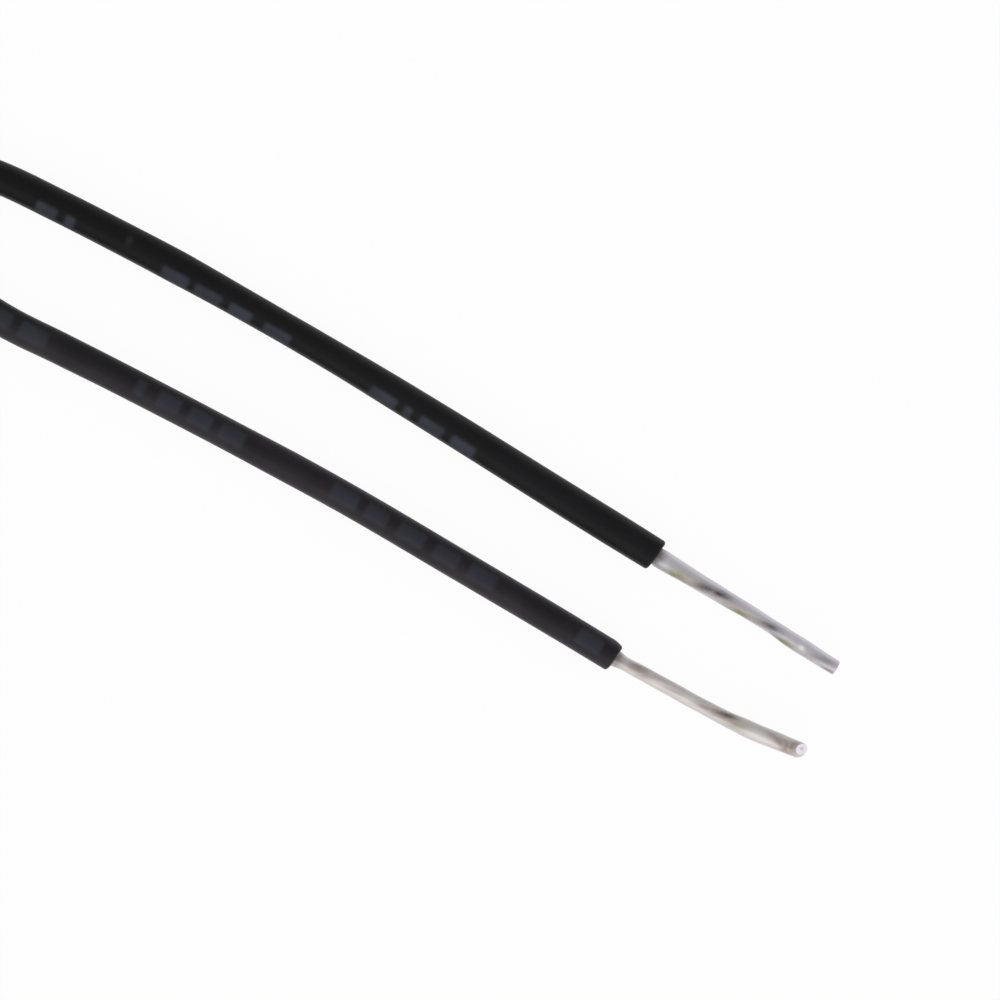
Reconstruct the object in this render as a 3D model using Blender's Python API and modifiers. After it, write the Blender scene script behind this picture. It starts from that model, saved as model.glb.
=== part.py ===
# Bead thermistor: an epoxy drop over a soldered ceramic chip, with two insulated leads.
# The leads are wound once for storage, and their free ends are stripped and tinned.
# Metres, +Z up. The origin is under the middle of the bead with its collars; its leads run along +X.
import math

import bmesh
import bpy
from mathutils import Matrix, Vector

mm = 0.001

# Wire: copper, six strands laid round a seventh, in a thin extruded jacket
wire_diameter = 1.27 * mm
conductor_diameter = 0.61 * mm
outer_strands = 6
strand_lay = 16.0 * mm
strand_relief = 0.012 * mm

# Clearances: between pieces that touch, and between leads that lie side by side
seat_gap = 0.03 * mm
lead_gap = 0.03 * mm

# Ceramic chip, stood on edge between the two wires, with solder on both faces
chip_length = 1.2 * mm
chip_height = 1.2 * mm
chip_thickness = 0.5 * mm
chip_edge = 0.06 * mm
solder_cover = 0.16 * mm
solder_share = 0.92
wire_on_chip = 0.85 * mm

# Inside the bead: bare wire between jacket and chip, jacket held by the coating.
# The shares are how much of the bare wire stays straight at either end.
bare_run = 1.5 * mm
jacket_grip = 4.0 * mm
bore_seat = 1.2 * mm
straight_at_jacket = 0.3
straight_at_chip = 0.2

# Coating
coat_nose = 1.1 * mm
coat_side = 0.95 * mm
neck_wall = 0.35 * mm
neck_rim_share = 0.6
nose_stretch = 1.1

# Collars: epoxy drawn up round each lead as it set
collar_length = 0.55 * mm
collar_root = 0.30 * mm
collar_lip = 0.08 * mm
collar_sink = 0.40 * mm

# Storage coil: both leads, one over the other, in three turns side by side
turn_count = 3
coil_mean_radius = 7.05 * mm
coil_centre_x = 22.0 * mm
coil_centre_y = -8.4 * mm

# Band round the coil, on the side away from the leads: a strip whose end lies over its start
tie_width = 2.5 * mm
tie_thickness = 0.14 * mm
tie_corner = 0.66 * mm
tie_lap = 3.2 * mm
tie_ramp = 0.9 * mm

# How finely the pieces are drawn: points along the swept ones, and sides round the turned ones
lead_spacing = 2.0 * mm
end_spacing = 0.35 * mm
chip_wire_spacing = 0.3 * mm
coil_steps = 44
tie_spacing = 0.25 * mm
collar_sides = 24
collar_rings = 4
coating_sides = 32
nose_rings = 8
taper_rings = 9
rim_angles = (30, 60, 90)
ball_segments = (20, 12)
tinned_sides = 30
wire_resolution = 2
wire_room_resolution = 3
neck_bore_resolution = 4

# Routes of the leads outside the coil, in millimetres, chosen by hand.
# Bead side: straight out of the neck, up, across the top of the coil and down inside it.
bead_route_a = [
    (4.40, 0.65, 2.24), (6.50, 0.62, 2.26), (9.15, 0.19, 2.46), (12.15, -0.56, 2.90),
    (15.00, -1.33, 3.25), (17.60, -2.02, 3.27), (20.50, -2.76, 3.27), (23.10, -3.43, 3.23),
    (25.00, -4.25, 3.04), (26.40, -5.50, 2.77),
]
bead_route_b = [
    (4.40, -0.65, 2.24), (6.40, -0.68, 2.26), (8.85, -1.08, 2.46), (11.80, -1.81, 2.90),
    (14.70, -2.59, 3.25), (17.30, -3.28, 3.27), (20.20, -4.02, 3.24), (21.60, -4.37, 3.16),
    (22.82, -4.67, 2.95), (24.35, -5.12, 2.35), (25.84, -5.95, 1.69),
]
# Free side: off the outer turn, down to the surface, apart, and on to the stripped end.
free_route_a = [
    (20.32, -0.22, 1.935), (22.70, 0.36, 1.89), (25.30, 1.04, 1.42), (28.20, 1.77, 0.88),
    (31.54, 2.38, 0.66), (34.30, 2.57, 0.635), (36.90, 2.68, 0.635), (39.50, 2.76, 0.635),
    (42.00, 2.78, 0.635), (47.20, 2.73, 0.635), (52.30, 2.56, 0.635), (57.50, 2.33, 0.635),
    (61.98, 2.15, 0.635),
]
free_route_b = [
    (23.79, -0.24, 0.635), (26.40, -0.95, 0.635), (29.40, -1.80, 0.635), (32.00, -2.32, 0.635),
    (34.50, -2.54, 0.635), (37.10, -2.41, 0.635), (39.70, -2.28, 0.635), (44.80, -2.10, 0.635),
    (50.00, -2.00, 0.635), (55.20, -2.08, 0.635), (60.30, -2.18, 0.635), (62.56, -2.25, 0.635),
]
# Beyond the jacket: the wire's line, and (distance from the jacket, diameter) of its solder.
end_route_a = [
    (64.40, 2.075, 0.635), (67.30, 1.985, 0.635), (68.50, 1.89, 0.635), (70.60, 1.785, 0.635),
]
end_route_b = [
    (64.60, -2.23, 0.635), (66.60, -2.208, 0.635), (68.00, -2.155, 0.65), (69.20, -2.052, 0.68),
    (70.00, -1.944, 0.715), (70.93, -1.82, 0.76),
]
solder_profile_a = [
    (0.06, 0.70), (0.30, 0.83), (1.50, 0.765), (2.30, 0.72), (3.30, 0.675), (4.10, 0.655),
    (5.50, 0.605), (6.10, 0.665), (6.90, 0.70), (7.90, 0.65), (9.00, 0.645),
]
solder_profile_b = [
    (0.06, 0.72), (0.18, 0.73), (0.60, 0.57), (1.30, 0.635), (4.00, 0.61), (5.10, 0.65),
    (6.10, 0.745), (7.00, 0.73), (9.00, 0.70),
]
# How far the cut at the tip leans along the wire, for each length across it and up it.
cut_slope_a = (-0.05, 0.12)
cut_slope_b = (0.10, -0.70)
# The cut face's share of the section behind it, and how far the bevel round it reaches.
cut_face_a = (0.93, 0.03 * mm)
cut_face_b = (0.62, 0.12 * mm)

leads = {
    "a": {
        "side": 1,
        "bead route": bead_route_a,
        "free route": free_route_a,
        "end route": end_route_a,
        "solder": solder_profile_a,
        "cut slope": cut_slope_a,
        "cut face": cut_face_a,
    },
    "b": {
        "side": -1,
        "bead route": bead_route_b,
        "free route": free_route_b,
        "end route": end_route_b,
        "solder": solder_profile_b,
        "cut slope": cut_slope_b,
        "cut face": cut_face_b,
    },
}

# Sizes that follow
wire_radius = wire_diameter / 2
conductor_radius = conductor_diameter / 2
lead_pitch = wire_diameter + lead_gap
inner_half_width = lead_pitch / 2 + wire_radius
bead_radius = inner_half_width + coat_side
bead_length = coat_nose + chip_length + bare_run + jacket_grip
nose_length = nose_stretch * bead_radius
neck_half_width = inner_half_width + neck_wall
neck_half_height = wire_radius + neck_wall
neck_rim = neck_rim_share * neck_wall
nose_x = -(bead_length + collar_length) / 2
neck_x = nose_x + bead_length
chip_x = nose_x + coat_nose + chip_length / 2
jacket_x = neck_x - jacket_grip
wire_on_chip_y = chip_thickness / 2 + seat_gap + conductor_radius
coil_pitch = wire_diameter + lead_gap
coil_inner_radius = coil_mean_radius - turn_count * coil_pitch / 2
coil_outer_radius = coil_mean_radius + turn_count * coil_pitch / 2
coil_height = wire_diameter + coil_pitch
coil_centre = Vector((coil_centre_x, coil_centre_y, 0))


def clear_scene():
    for obj in list(bpy.data.objects):
        bpy.data.objects.remove(obj, do_unlink=True)


def new_collection(name):
    collection = bpy.data.collections.new(name)
    bpy.context.scene.collection.children.link(collection)
    return collection


def new_material(name, colour, roughness, metallic=0.0):
    material = bpy.data.materials.new(name)
    material.use_nodes = True
    shader = material.node_tree.nodes["Principled BSDF"]
    shader.inputs["Base Color"].default_value = (*colour, 1.0)
    shader.inputs["Roughness"].default_value = roughness
    shader.inputs["Metallic"].default_value = metallic
    material.diffuse_color = (*colour, 1.0)
    return material


def place(obj, name, material, collection, parent=None):
    obj.name = name
    for old in list(obj.users_collection):
        old.objects.unlink(obj)
    collection.objects.link(obj)
    if material:
        obj.data.materials.append(material)
    obj.parent = parent
    return obj


def mesh_object(name, shape, material, collection, parent=None):
    bmesh.ops.recalc_face_normals(shape, faces=shape.faces)
    mesh = bpy.data.meshes.new(name)
    shape.to_mesh(mesh)
    shape.free()
    mesh.shade_smooth()
    mesh.set_sharp_from_angle(angle=math.radians(40))
    return place(bpy.data.objects.new(name, mesh), name, material, collection, parent)


def as_helper(obj):
    obj.hide_render = True
    obj.display_type = "WIRE"
    return obj


def cut(obj, cutter):
    modifier = obj.modifiers.new("cut by " + cutter.name, "BOOLEAN")
    modifier.operation = "DIFFERENCE"
    modifier.solver = "EXACT"
    modifier.object = cutter


def join(obj, addition):
    modifier = obj.modifiers.new("joined to " + addition.name, "BOOLEAN")
    modifier.operation = "UNION"
    modifier.solver = "EXACT"
    modifier.object = addition


def smooth_route(points, spacing):
    # A centripetal Catmull-Rom curve through the points, read off about every spacing.
    points = [Vector(p) for p in points]
    ends = [2 * points[0] - points[1]] + points + [2 * points[-1] - points[-2]]
    out = []
    for p0, p1, p2, p3 in zip(ends, ends[1:], ends[2:], ends[3:]):
        t1 = (p1 - p0).length ** 0.5
        t2 = t1 + (p2 - p1).length ** 0.5
        t3 = t2 + (p3 - p2).length ** 0.5
        steps = max(1, round((p2 - p1).length / spacing))
        for i in range(steps):
            t = t1 + (t2 - t1) * i / steps
            a1 = p0.lerp(p1, t / t1)
            a2 = p1.lerp(p2, (t - t1) / (t2 - t1))
            a3 = p2.lerp(p3, (t - t2) / (t3 - t2))
            b1 = a1.lerp(a2, t / t2)
            b2 = a2.lerp(a3, (t - t1) / (t3 - t1))
            out.append(b1.lerp(b2, (t - t1) / (t2 - t1)))
    return out + [points[-1]]


def in_metres(route):
    return [Vector(p) * mm for p in route]


def tube(name, points, radius, material, collection, parent=None, resolution=wire_resolution):
    curve = bpy.data.curves.new(name, "CURVE")
    curve.dimensions = "3D"
    curve.bevel_depth = radius
    curve.bevel_resolution = resolution
    curve.use_fill_caps = True
    spline = curve.splines.new("POLY")
    spline.points.add(len(points) - 1)
    for target, point in zip(spline.points, points):
        target.co = (*point, 1.0)
    return place(bpy.data.objects.new(name, curve), name, material, collection, parent)


def as_mesh(curve, name, material, collection, parent=None):
    # A curve that is cut or cuts becomes a mesh, with its loose caps welded on.
    bpy.context.view_layer.update()
    graph = bpy.context.evaluated_depsgraph_get()
    mesh = bpy.data.meshes.new_from_object(curve.evaluated_get(graph))
    matrix = curve.matrix_world.copy()
    bpy.data.objects.remove(curve, do_unlink=True)
    shape = bmesh.new()
    shape.from_mesh(mesh)
    bpy.data.meshes.remove(mesh)
    bmesh.ops.remove_doubles(shape, verts=shape.verts, dist=1e-7)
    obj = mesh_object(name, shape, material, collection, parent)
    obj.matrix_world = matrix
    return obj


def tube_mesh(name, points, radius, material, collection, parent=None, resolution=wire_resolution):
    curve = tube(name + " curve", points, radius, None, collection, parent, resolution)
    return as_mesh(curve, name, material, collection, parent)


def box(name, low, high, edge, material, collection, parent=None):
    shape = bmesh.new()
    low = Vector(low)
    high = Vector(high)
    size = high - low
    matrix = Matrix.Translation((low + high) / 2) @ Matrix.Diagonal((*size, 1.0))
    bmesh.ops.create_cube(shape, size=1.0, matrix=matrix)
    if edge:
        bmesh.ops.bevel(shape, geom=shape.edges[:], offset=edge, segments=2, profile=0.5, affect="EDGES")
    return mesh_object(name, shape, material, collection, parent)


def ball(name, centre, half_sizes, material, collection, parent=None):
    shape = bmesh.new()
    matrix = Matrix.Translation(centre) @ Matrix.Diagonal((*half_sizes, 1.0))
    around, along = ball_segments
    bmesh.ops.create_uvsphere(shape, u_segments=around, v_segments=along, radius=1.0, matrix=matrix)
    return mesh_object(name, shape, material, collection, parent)


def loft(name, rings, material, collection, parent=None):
    # A skin over rings of equal length, with a flat cap on each end ring or a single end point.
    shape = bmesh.new()
    loops = [[shape.verts.new(p) for p in ring] for ring in rings]
    for near, far in zip(loops, loops[1:]):
        count = max(len(near), len(far))
        for i in range(count):
            j = (i + 1) % count
            if len(near) == 1:
                shape.faces.new((near[0], far[j], far[i]))
            elif len(far) == 1:
                shape.faces.new((near[i], near[j], far[0]))
            else:
                shape.faces.new((near[i], near[j], far[j], far[i]))
    for loop in (loops[0], loops[-1]):
        if len(loop) > 2:
            shape.faces.new(loop)
    return mesh_object(name, shape, material, collection, parent)


def coating_half_sizes(u):
    # Half width and half height of the coating, u from the tip of its nose.
    if u < nose_length:
        share = math.sqrt(max(0.0, 1 - (1 - u / nose_length) ** 2))
        return bead_radius * share, bead_radius * share
    t = min(1.0, (u - nose_length) / (bead_length - neck_rim - nose_length))
    blend = t * t * (3 - 2 * t)
    width = bead_radius + (neck_half_width - bead_radius) * blend
    height = bead_radius + (neck_half_height - bead_radius) * blend
    return width, height


def coating_rings():
    def ring(u, shrink=0.0):
        width, height = coating_half_sizes(u)
        angles = [2 * math.pi * i / coating_sides for i in range(coating_sides)]
        return [
            Vector((nose_x + u, (width - shrink) * math.cos(a), (height - shrink) * math.sin(a)))
            for a in angles
        ]

    nose_angles = [math.pi / 2 * i / nose_rings for i in range(1, nose_rings + 1)]
    rings = [[Vector((nose_x, 0, 0))]]
    rings += [ring(nose_length * (1 - math.cos(a))) for a in nose_angles]
    taper_end = bead_length - neck_rim
    taper_step = (taper_end - nose_length) / taper_rings
    rings += [ring(nose_length + taper_step * i) for i in range(1, taper_rings + 1)]
    for turn in rim_angles:
        a = math.radians(turn)
        rings.append(ring(taper_end + neck_rim * math.sin(a), neck_rim * (1 - math.cos(a))))
    return rings


def chip_wire_points(side):
    # From inside the jacket's bore to the chip's face, easing from the lead's line to the chip's.
    jacket_y = side * lead_pitch / 2
    chip_y = side * wire_on_chip_y
    chip_edge_x = chip_x + chip_length / 2
    route = [
        Vector((jacket_x + bore_seat - seat_gap, jacket_y, 0)),
        Vector((jacket_x, jacket_y, 0)),
        Vector((jacket_x - straight_at_jacket * bare_run, jacket_y, 0)),
        Vector((chip_edge_x + straight_at_chip * bare_run, chip_y, 0)),
        Vector((chip_edge_x, chip_y, 0)),
        Vector((chip_edge_x - wire_on_chip, chip_y, 0)),
    ]
    return smooth_route(route, chip_wire_spacing)


def solder_half_sizes(grow=0.0):
    reach = wire_on_chip_y + conductor_radius + solder_cover
    return (
        solder_share * chip_length / 2 + grow,
        reach + grow,
        solder_share * chip_height / 2 + grow,
    )


def collar_outline():
    # How the collar thins along the lead: from inside the neck to its lip.
    reach = collar_sink + collar_length
    outline = []
    for i in range(collar_rings + 1):
        t = i / collar_rings
        wall = collar_lip + (collar_root - collar_lip) * (1 - t) ** 2
        outline.append((neck_x - collar_sink + reach * t, wire_radius + wall))
    return outline


def collar(name, y, collection, parent):
    rings = []
    for x, radius in collar_outline():
        angles = [2 * math.pi * i / collar_sides for i in range(collar_sides)]
        rings.append([Vector((x, y + radius * math.cos(a), radius * math.sin(a))) for a in angles])
    return loft(name, rings, None, collection, parent)


def make_bead(parts, cutters, materials, axis):
    # The coating is cut by grown copies of all that it holds, so that it closes round each piece.
    coating = loft("bead_coating", coating_rings(), materials["epoxy"], parts, axis)
    for letter, lead in leads.items():
        raised = collar("collar " + letter, lead["side"] * lead_pitch / 2, cutters, axis)
        join(coating, as_helper(raised))

    half = Vector((chip_length, chip_thickness, chip_height)) / 2
    centre = Vector((chip_x, 0, 0))
    box("thermistor_chip", centre - half, centre + half, chip_edge, materials["ceramic"], parts, axis)
    grown = half + Vector((seat_gap, seat_gap, seat_gap))
    room = as_helper(box("chip room", centre - grown, centre + grown, 0, None, cutters, axis))
    cut(coating, room)

    for letter, lead in leads.items():
        side = lead["side"]
        points = chip_wire_points(side)
        tube("chip_wire_" + letter, points, conductor_radius, materials["copper"], parts, axis)
        step = (points[0] - points[1]).normalized() * seat_gap
        back = (points[-1] - points[-2]).normalized() * seat_gap
        longer = [points[0] + step] + points[1:-1] + [points[-1] + back]
        room_radius = conductor_radius + seat_gap
        wire_room = tube_mesh(
            "wire room " + letter, longer, room_radius, None, cutters, axis, wire_room_resolution
        )
        as_helper(wire_room)
        cut(coating, wire_room)

        half_sizes = solder_half_sizes()
        joint = ball("solder_joint_" + letter, centre, half_sizes, materials["solder"], parts, axis)
        beyond = Vector(solder_half_sizes(wire_diameter))
        low = centre - beyond
        high = centre + beyond
        high.y = chip_thickness / 2 + seat_gap
        if side < 0:
            low.y, high.y = -high.y, -low.y
        face = as_helper(box("chip face " + letter, low, high, 0, None, cutters, axis))
        cut(joint, face)
        cut(joint, wire_room)
        if side > 0:
            room = ball("solder room", centre, solder_half_sizes(seat_gap), None, cutters, axis)
            cut(coating, as_helper(room))

        lead_line = [
            Vector((jacket_x - seat_gap, side * lead_pitch / 2, 0)),
            Vector((neck_x + wire_diameter, side * lead_pitch / 2, 0)),
        ]
        bore_radius = wire_radius + seat_gap
        bore = tube_mesh(
            "neck bore " + letter, lead_line, bore_radius, None, cutters, axis, neck_bore_resolution
        )
        cut(coating, as_helper(bore))


def bore_jacket(lead, letter, where, inward, cutters):
    # The hole that the conductor fills, as deep as the conductor's own piece goes in.
    line = [where - inward * wire_radius, where + inward * bore_seat]
    radius = conductor_radius + seat_gap
    bore = tube_mesh("bore " + letter, line, radius, None, cutters, None, wire_room_resolution)
    cut(lead, as_helper(bore))


def coil_outline():
    # The section's outside: an arc over each wire that shows, with a short flat between two.
    half_arc = 50
    arc_step = 25
    inner = coil_inner_radius + coil_pitch / 2
    low = wire_radius
    high = wire_radius + coil_pitch
    columns = [inner + coil_pitch * i for i in range(turn_count)]
    spans = []
    for i, r in enumerate(columns):
        start = 180 + half_arc if i == 0 else 90 + half_arc
        stop = -half_arc if i == turn_count - 1 else 90 - half_arc
        spans.append((r, high, start, stop))
    for i, r in reversed(list(enumerate(columns))):
        start = half_arc if i == turn_count - 1 else -90 + half_arc
        stop = -180 - half_arc if i == 0 else -90 - half_arc
        spans.append((r, low, start, stop))
    outline = []
    for r, z, start, stop in spans:
        steps = round((start - stop) / arc_step)
        for i in range(steps + 1):
            a = math.radians(start + (stop - start) * i / steps)
            outline.append((r + wire_radius * math.cos(a), z + wire_radius * math.sin(a)))
    return outline


def turned_ring(name, outline, material, collection):
    shape = bmesh.new()
    corners = [shape.verts.new((r, 0, z)) for r, z in outline]
    for i, corner in enumerate(corners):
        shape.edges.new((corner, corners[(i + 1) % len(corners)]))
    mesh = bpy.data.meshes.new(name)
    shape.to_mesh(mesh)
    shape.free()
    ring = place(bpy.data.objects.new(name, mesh), name, material, collection)
    ring.location = coil_centre
    screw = ring.modifiers.new("turn", "SCREW")
    screw.steps = coil_steps
    screw.render_steps = coil_steps
    screw.use_merge_vertices = True
    screw.merge_threshold = 1e-6
    return ring


def rounded_corners(low, high, corner, steps=4):
    # A rectangle from low to high with round corners, from its right side round over its top.
    centres = [
        (high[0] - corner, high[1] - corner, 0),
        (low[0] + corner, high[1] - corner, 90),
        (low[0] + corner, low[1] + corner, 180),
        (high[0] - corner, low[1] + corner, 270),
    ]
    points = []
    for x, y, start in centres:
        for i in range(steps + 1):
            a = math.radians(start + 90 * i / steps)
            points.append((x + corner * math.cos(a), y + corner * math.sin(a)))
    return points


def lapped_outside(low, high, corner):
    # The strip's outside: one thickness more where its end lies over its start, up a ramp before it.
    loop = [Vector(p) for p in rounded_corners(low, high, corner)]
    loop.append(loop[0])
    path = []
    travelled = 0.0
    for near, far in zip(loop, loop[1:]):
        length = (far - near).length
        outward = Vector((far.y - near.y, near.x - far.x)).normalized()
        steps = max(1, math.ceil(length / tie_spacing))
        for i in range(steps):
            path.append((near.lerp(far, i / steps), outward, travelled + length * i / steps))
        travelled += length
    outline = []
    for point, outward, distance in path:
        climb = max(0.0, 1 - (travelled - distance) / tie_ramp)
        layers = 1.0 if distance < tie_lap else climb
        outline.append(point + outward * tie_thickness * layers)
    return outline


def closed_spline(curve, points):
    spline = curve.splines.new("POLY")
    spline.points.add(len(points) - 1)
    for target, (x, y) in zip(spline.points, points):
        target.co = (x, y, 0, 1)
    spline.use_cyclic_u = True


def section_curve(name, width):
    # A flat outline across the coil where the band is, seen along X: Y across the coil, Z up.
    curve = bpy.data.curves.new(name, "CURVE")
    curve.dimensions = "2D"
    curve.fill_mode = "BOTH"
    curve.extrude = width / 2
    return curve


def stand_section(obj):
    obj.location = (coil_centre_x, 0, 0)
    obj.rotation_euler = (math.pi / 2, 0, math.pi / 2)
    return obj


def make_coil_and_tie(parts, cutters, materials):
    # The strip passes under the coil and lifts its wires by its thickness, so its top lies as much
    # higher than the coil's.
    inner_side = math.sqrt(coil_inner_radius**2 - (tie_width / 2) ** 2)
    near = coil_centre_y - inner_side + seat_gap
    far = coil_centre_y - coil_outer_radius - seat_gap
    top = coil_height + tie_thickness + 2 * seat_gap

    strip = section_curve("coil_tie", tie_width)
    low = (far - tie_thickness, 0)
    high = (near + tie_thickness, top + tie_thickness)
    closed_spline(strip, lapped_outside(low, high, tie_corner + tie_thickness))
    closed_spline(strip, rounded_corners((far, tie_thickness), (near, top), tie_corner))
    tie = bpy.data.objects.new("coil_tie", strip)
    stand_section(place(tie, "coil_tie", materials["band"], parts))

    coil = turned_ring("lead_coil", coil_outline(), materials["jacket"], parts)
    around = section_curve("band space", tie_width + 2 * seat_gap)
    low = (far - wire_diameter, -wire_diameter)
    high = (near + wire_diameter, top + wire_diameter)
    closed_spline(around, rounded_corners(low, high, tie_corner))
    closed_spline(around, rounded_corners((far, tie_thickness + seat_gap), (near, top), tie_corner))
    space = bpy.data.objects.new("band space curve", around)
    stand_section(place(space, "band space curve", None, cutters))
    cut(coil, as_helper(as_mesh(space, "band space", None, cutters)))


def diameter_at(profile, distance):
    if distance <= profile[0][0]:
        return profile[0][1]
    for (d0, w0), (d1, w1) in zip(profile, profile[1:]):
        if distance <= d1:
            t = (distance - d0) / (d1 - d0)
            return w0 + (w1 - w0) * t * t * (3 - 2 * t)
    return profile[-1][1]


def tinned_rings(jacket_end, inward, route, profile, cut_slope, cut_face):
    # Sections of the twisted strands under their solder, from inside the jacket to the cut end.
    line = [jacket_end + inward * (bore_seat - seat_gap), jacket_end] + in_metres(route)
    points = smooth_route(line, end_spacing)
    rings = []
    travelled = -(bore_seat - seat_gap)
    for i, point in enumerate(points):
        ahead = points[min(i + 1, len(points) - 1)] - points[max(i - 1, 0)]
        tangent = ahead.normalized()
        side = Vector((0, 0, 1)).cross(tangent).normalized()
        up = tangent.cross(side)
        if i:
            travelled += (point - points[i - 1]).length
        inside = travelled < seat_gap
        radius = conductor_radius if inside else diameter_at(profile, travelled / mm) * mm / 2
        last = i == len(points) - 1
        ring = []
        for k in range(tinned_sides):
            a = 2 * math.pi * k / tinned_sides
            lay = outer_strands * (a - 2 * math.pi * travelled / strand_lay)
            r = radius + strand_relief * (math.cos(lay) - 1)
            across, rise = r * math.cos(a), r * math.sin(a)
            slant = across * cut_slope[0] + rise * cut_slope[1] if last else 0.0
            ring.append(point + side * across + up * rise + tangent * slant)
        rings.append(ring)
    # The bevel round the cut: a smaller copy of the last section, a little further on.
    face_share, bevel = cut_face
    rings.append([point + (corner - point) * face_share + tangent * bevel for corner in rings[-1]])
    return rings


def make_lead(letter, lead, coil, parts, cutters, materials):
    # Bead side: from inside the coating to the coil.
    start = Vector((jacket_x, lead["side"] * lead_pitch / 2, bead_radius))
    points = smooth_route([start] + in_metres(lead["bead route"]), lead_spacing)
    bead_lead = tube_mesh("bead_lead_" + letter, points, wire_radius, materials["jacket"], parts)
    bore_jacket(bead_lead, letter + " in bead", start, Vector((1, 0, 0)), cutters)
    cut(bead_lead, coil)

    # Free side: from the coil to the stripped end, and the tinned wire that it holds.
    points = smooth_route(in_metres(lead["free route"]), lead_spacing)
    inward = (points[-2] - points[-1]).normalized()
    free_lead = tube_mesh("free_lead_" + letter, points, wire_radius, materials["jacket"], parts)
    bore_jacket(free_lead, letter + " at stripped end", points[-1], inward, cutters)
    cut(free_lead, coil)
    rings = tinned_rings(
        points[-1], inward, lead["end route"], lead["solder"], lead["cut slope"], lead["cut face"]
    )
    loft("tinned_end_" + letter, rings, materials["tinned"], parts)


def coil_room(cutters):
    # The plain space that the coil takes, with the clearance added: the leads stop where they enter it.
    inner = coil_inner_radius - seat_gap
    outer = coil_outer_radius + seat_gap
    top = coil_height + seat_gap
    below = -wire_diameter
    outline = [(inner, top), (outer, top), (outer, below), (inner, below)]
    return as_helper(turned_ring("coil room", outline, None, cutters))


def main():
    clear_scene()
    parts = new_collection("bead_thermistor")
    cutters = new_collection("cutters")
    materials = {
        "epoxy": new_material("black epoxy", (0.012, 0.012, 0.013), 0.35),
        "jacket": new_material("black fluoropolymer jacket", (0.010, 0.010, 0.011), 0.45),
        "ceramic": new_material("thermistor ceramic", (0.055, 0.048, 0.042), 0.7),
        "solder": new_material("solder", (0.50, 0.49, 0.50), 0.35, 1.0),
        "copper": new_material("tinned copper wire", (0.62, 0.58, 0.54), 0.4, 1.0),
        "tinned": new_material("solder coated strands", (0.55, 0.52, 0.54), 0.38, 1.0),
        "band": new_material("white band", (0.70, 0.70, 0.68), 0.5),
    }
    axis = bpy.data.objects.new("bead axis", None)
    parts.objects.link(axis)
    axis.location = (0, 0, bead_radius)

    make_bead(parts, cutters, materials, axis)
    make_coil_and_tie(parts, cutters, materials)
    room = coil_room(cutters)
    for letter, lead in leads.items():
        make_lead(letter, lead, room, parts, cutters, materials)


main()
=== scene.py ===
import math

import bpy
import numpy as np
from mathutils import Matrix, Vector


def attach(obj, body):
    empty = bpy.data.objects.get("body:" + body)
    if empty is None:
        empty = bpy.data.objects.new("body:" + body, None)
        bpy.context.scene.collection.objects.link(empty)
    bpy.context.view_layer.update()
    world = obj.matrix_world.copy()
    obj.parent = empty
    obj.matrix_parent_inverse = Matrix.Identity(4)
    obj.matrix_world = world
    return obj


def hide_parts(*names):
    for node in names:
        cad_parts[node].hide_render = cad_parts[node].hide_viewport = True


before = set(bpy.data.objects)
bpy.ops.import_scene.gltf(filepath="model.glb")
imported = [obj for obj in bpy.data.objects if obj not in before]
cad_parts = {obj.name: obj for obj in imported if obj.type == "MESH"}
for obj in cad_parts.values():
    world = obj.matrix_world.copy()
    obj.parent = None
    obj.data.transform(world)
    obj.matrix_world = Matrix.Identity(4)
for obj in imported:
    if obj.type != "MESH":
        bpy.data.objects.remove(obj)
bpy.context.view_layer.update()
mm = 0.001

wire = {
    "diameter": 1.27,          # over the jacket, 24 gauge
    "conductor": 0.61,         # over the seven strands
    "gap": 0.03,               # between leads that lie side by side
    "outerStrands": 6,         # laid round a seventh
    "strandLay": 16.0,         # one turn of the strands
    "boreDepth": 1.2,          # how far the jacket is open at its stripped end
    "neckX": 3.625,            # where the leads leave the bead
    "insideX": -0.375,         # where the jackets start inside the bead
    "axisZ": 2.235,            # the bead's middle, as it lies on the surface
}
pitch = wire["diameter"] + wire["gap"]         # between the middles of leads side by side
sideOf = {"a": 1, "b": -1}                     # lead a, the upper one in the picture, lies toward +Y

# The leads' routes outside the coil, in millimetres.
beadRoutes = {
    "a": [
        (4.40, 0.65, 2.24), (6.50, 0.62, 2.26), (9.15, 0.19, 2.46), (12.15, -0.56, 2.90),
        (15.00, -1.33, 3.25), (17.60, -2.02, 3.27), (20.50, -2.76, 3.27), (23.10, -3.43, 3.23),
    ],
    "b": [
        (4.40, -0.65, 2.24), (6.40, -0.68, 2.26), (8.85, -1.08, 2.46), (11.80, -1.81, 2.90),
        (14.70, -2.59, 3.25), (17.30, -3.28, 3.27), (20.20, -4.02, 3.24), (21.60, -4.37, 3.16),
        (22.82, -4.67, 2.95),
    ],
}
freeRoutes = {
    "a": [
        (20.32, -0.22, 1.935), (22.70, 0.36, 1.89), (25.30, 1.04, 1.42), (28.20, 1.77, 0.88),
        (31.54, 2.38, 0.66), (34.30, 2.57, 0.635), (36.90, 2.68, 0.635), (39.50, 2.76, 0.635),
        (42.00, 2.78, 0.635), (47.20, 2.73, 0.635), (52.30, 2.56, 0.635), (57.50, 2.33, 0.635),
        (61.98, 2.15, 0.635),
    ],
    "b": [
        (23.79, -0.24, 0.635), (26.40, -0.95, 0.635), (29.40, -1.80, 0.635), (32.00, -2.32, 0.635),
        (34.50, -2.54, 0.635), (37.10, -2.41, 0.635), (39.70, -2.28, 0.635), (44.80, -2.10, 0.635),
        (50.00, -2.00, 0.635), (55.20, -2.08, 0.635), (60.30, -2.18, 0.635), (62.56, -2.25, 0.635),
    ],
}
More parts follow.
